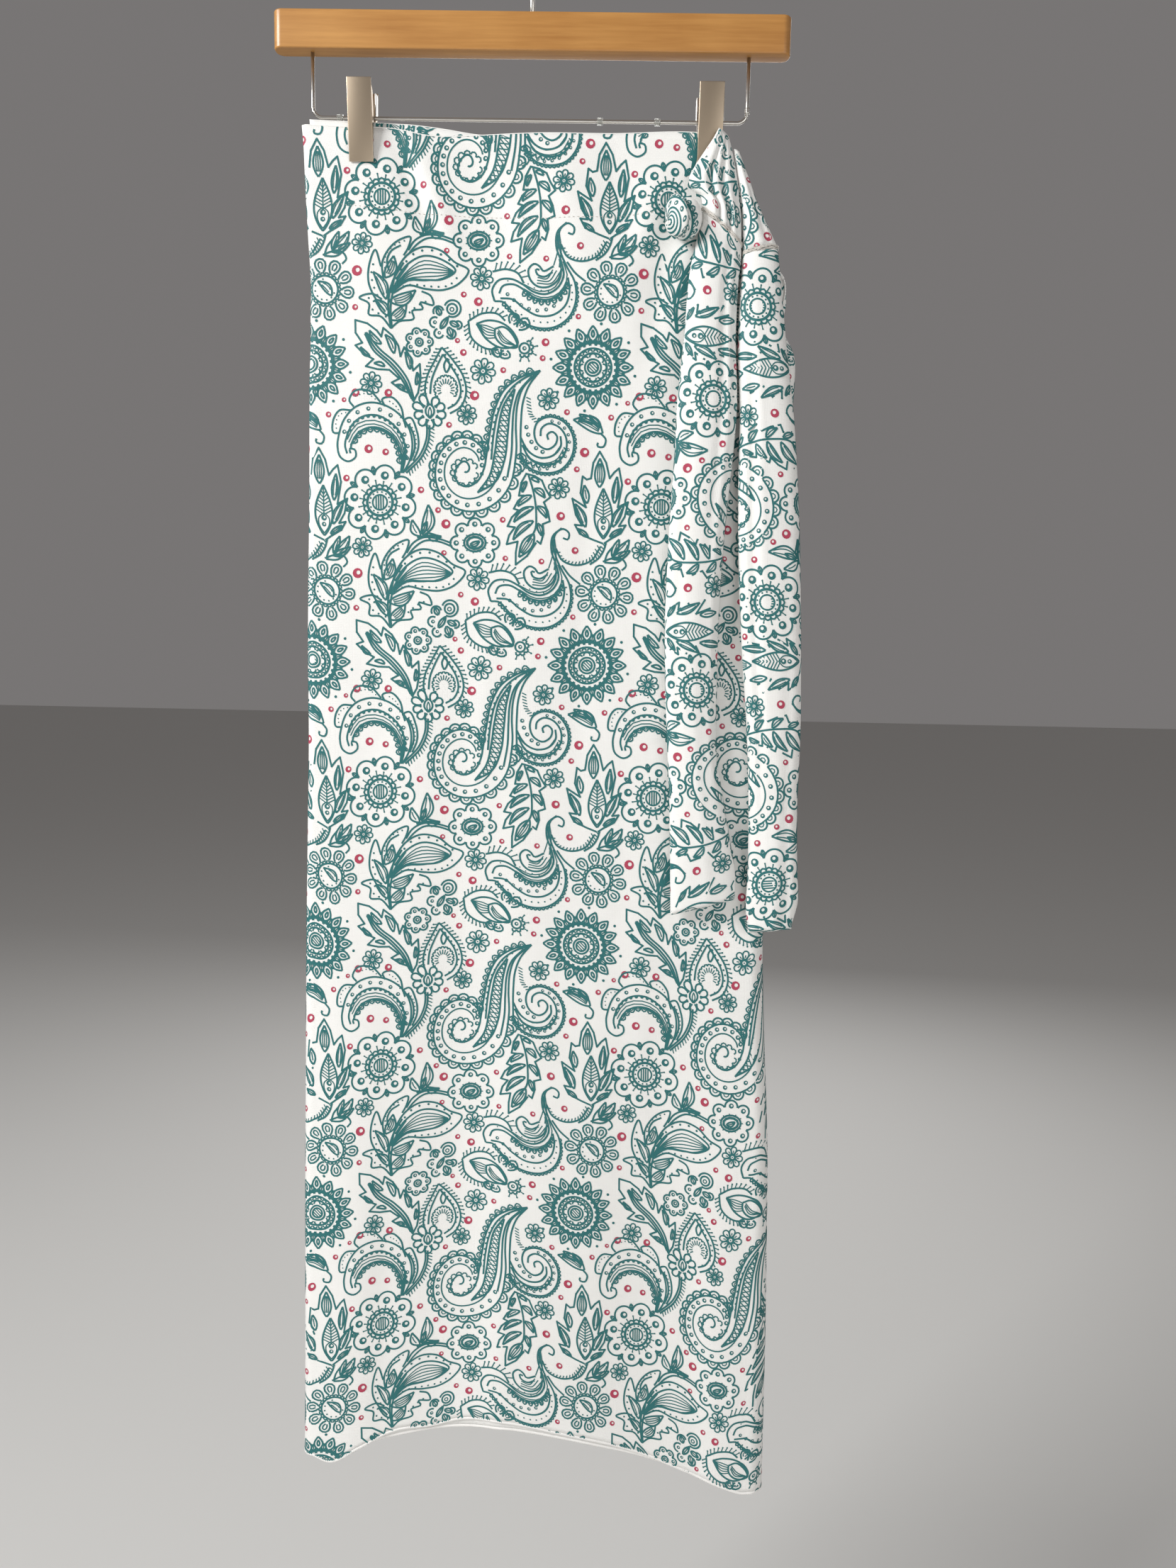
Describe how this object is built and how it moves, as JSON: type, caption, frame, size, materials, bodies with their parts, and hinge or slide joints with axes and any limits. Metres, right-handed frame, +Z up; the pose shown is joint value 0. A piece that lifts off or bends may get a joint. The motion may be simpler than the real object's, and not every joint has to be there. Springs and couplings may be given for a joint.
{
  "type": "wrap sarong with ties on a wooden skirt hanger",
  "caption": "Long wrap sarong in all-over paisley print jersey, knotted ties at the hip, folded flat and hung by its waist from the clips of a wooden skirt hanger.",
  "frame": {"origin": "inside top of the hanger's hook, where a rail carries it", "axes": "+X to the right as seen from the front, -Y out of the front panel, +Z up"},
  "size_m": [0.3827, 0.0457, 1.1664],
  "materials": {
    "printed_jersey": "soft matt knit with an all-over print",
    "lacquered_wood": "clear satin lacquer",
    "bright_wire": "bright plated",
    "satin_nickel": "satin plated",
    "clear_plastic": "translucent, slightly dull"
  },
  "bodies": {
    "root": {"front_panel": "printed_jersey", "under_panel": "printed_jersey", "back_panel": "printed_jersey", "tab_left": "printed_jersey", "tab_right": "printed_jersey", "tie_left": "printed_jersey", "tie_right": "printed_jersey", "knot": "printed_jersey", "hanger_bar": "lacquered_wood", "hanger_hook": "bright_wire", "hanger_wire": "bright_wire", "stop_ring_a": "clear_plastic", "stop_ring_b": "clear_plastic", "stop_ring_c": "clear_plastic", "clip_left_front": "satin_nickel", "clip_left_back": "satin_nickel", "clip_left_spring": "bright_wire", "clip_right_front": "satin_nickel", "clip_right_back": "satin_nickel", "clip_right_spring": "bright_wire"}
  },
  "joints": []
}
